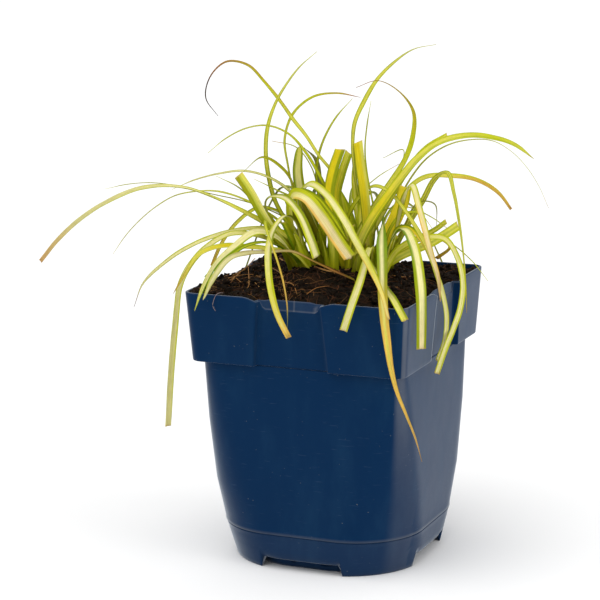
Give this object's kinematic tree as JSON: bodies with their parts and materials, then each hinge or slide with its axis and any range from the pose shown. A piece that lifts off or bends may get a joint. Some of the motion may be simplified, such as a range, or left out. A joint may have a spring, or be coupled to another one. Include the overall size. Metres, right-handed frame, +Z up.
{
  "type": "potted variegated sedge",
  "caption": "Clump of variegated grass-like sedge with arching striped leaves, growing in compost in a square moulded nursery pot with a stepped collar.",
  "frame": {"origin": "on the ground plane, on the vertical axis of the square pot", "axes": "+Z up along the pot's axis; -Y out of the pot's front wall; +X out of its right wall"},
  "size_m": [0.2701, 0.2125, 0.3027],
  "materials": {
    "pot_plastic": "satin injection-moulded plastic, navy blue",
    "compost": "moist dark peat compost, crumbly and matt",
    "leaf_variegated": "living leaf, satin, cream and yellow centre stripe with green margins",
    "leaf_dry": "dried leaf, matt, ochre to brown"
  },
  "bodies": {
    "root": {"pot": "pot_plastic", "compost": "compost", "crown": "leaf_variegated", "leaf_front_long": "leaf_variegated", "leaf_front_left": "leaf_variegated", "leaf_front_left_thin": "leaf_variegated", "leaf_right_cut_wide": "leaf_variegated", "leaf_right_hanging": "leaf_variegated", "leaf_far_right_hanging": "leaf_variegated", "leaf_centre_hanging": "leaf_variegated", "leaf_broad_pale": "leaf_variegated", "leaf_left_cut_wide": "leaf_variegated", "leaf_left_short_green": "leaf_variegated", "leaf_pale_fold": "leaf_variegated", "leaf_front_cut_short": "leaf_variegated", "leaf_corner_cut_short": "leaf_variegated", "leaf_right_short_yellow": "leaf_variegated", "leaf_cream_right": "leaf_variegated", "leaf_right_short_arch": "leaf_variegated", "leaf_long_left_arch": "leaf_variegated", "leaf_thin_left_arch": "leaf_variegated", "leaf_pale_left_arch": "leaf_variegated", "leaf_hair_left": "leaf_variegated", "leaf_curled_tip": "leaf_variegated", "leaf_upright_left": "leaf_variegated", "leaf_thin_top_arch": "leaf_variegated", "leaf_brown_tip_arch": "leaf_variegated", "leaf_thin_upright": "leaf_variegated", "leaf_tall_right": "leaf_variegated", "leaf_hooked_tip": "leaf_variegated", "leaf_big_right_arch": "leaf_variegated", "leaf_cut_right_arch": "leaf_variegated", "leaf_far_right_hair": "leaf_variegated", "leaf_right_brown_tip": "leaf_variegated", "leaf_kinked": "leaf_variegated", "leaf_left_fold_cream": "leaf_variegated", "leaf_left_split_green": "leaf_variegated", "leaf_dry_low": "leaf_dry", "leaf_far_left_hanging": "leaf_variegated", "leaf_left_yellow": "leaf_variegated", "leaf_left_drooping": "leaf_variegated", "leaf_left_ochre": "leaf_dry", "leaf_upright_pair_left": "leaf_variegated", "leaf_upright_pair_right": "leaf_variegated", "leaf_tall_yellow": "leaf_variegated", "leaf_pale_behind_yellow": "leaf_variegated", "leaf_wide_upright_left": "leaf_variegated", "leaf_olive_arch": "leaf_variegated", "leaf_right_cut_yellow": "leaf_variegated", "leaf_right_cut_small": "leaf_variegated", "leaf_right_bent_back": "leaf_variegated", "leaf_centre_green": "leaf_variegated", "leaf_olive_inner": "leaf_variegated", "leaf_grey_back": "leaf_variegated", "leaf_back_1": "leaf_variegated", "leaf_back_2": "leaf_variegated", "leaf_back_3": "leaf_variegated", "leaf_back_4": "leaf_variegated", "leaf_back_5": "leaf_variegated", "leaf_back_6": "leaf_variegated"}
  },
  "joints": []
}
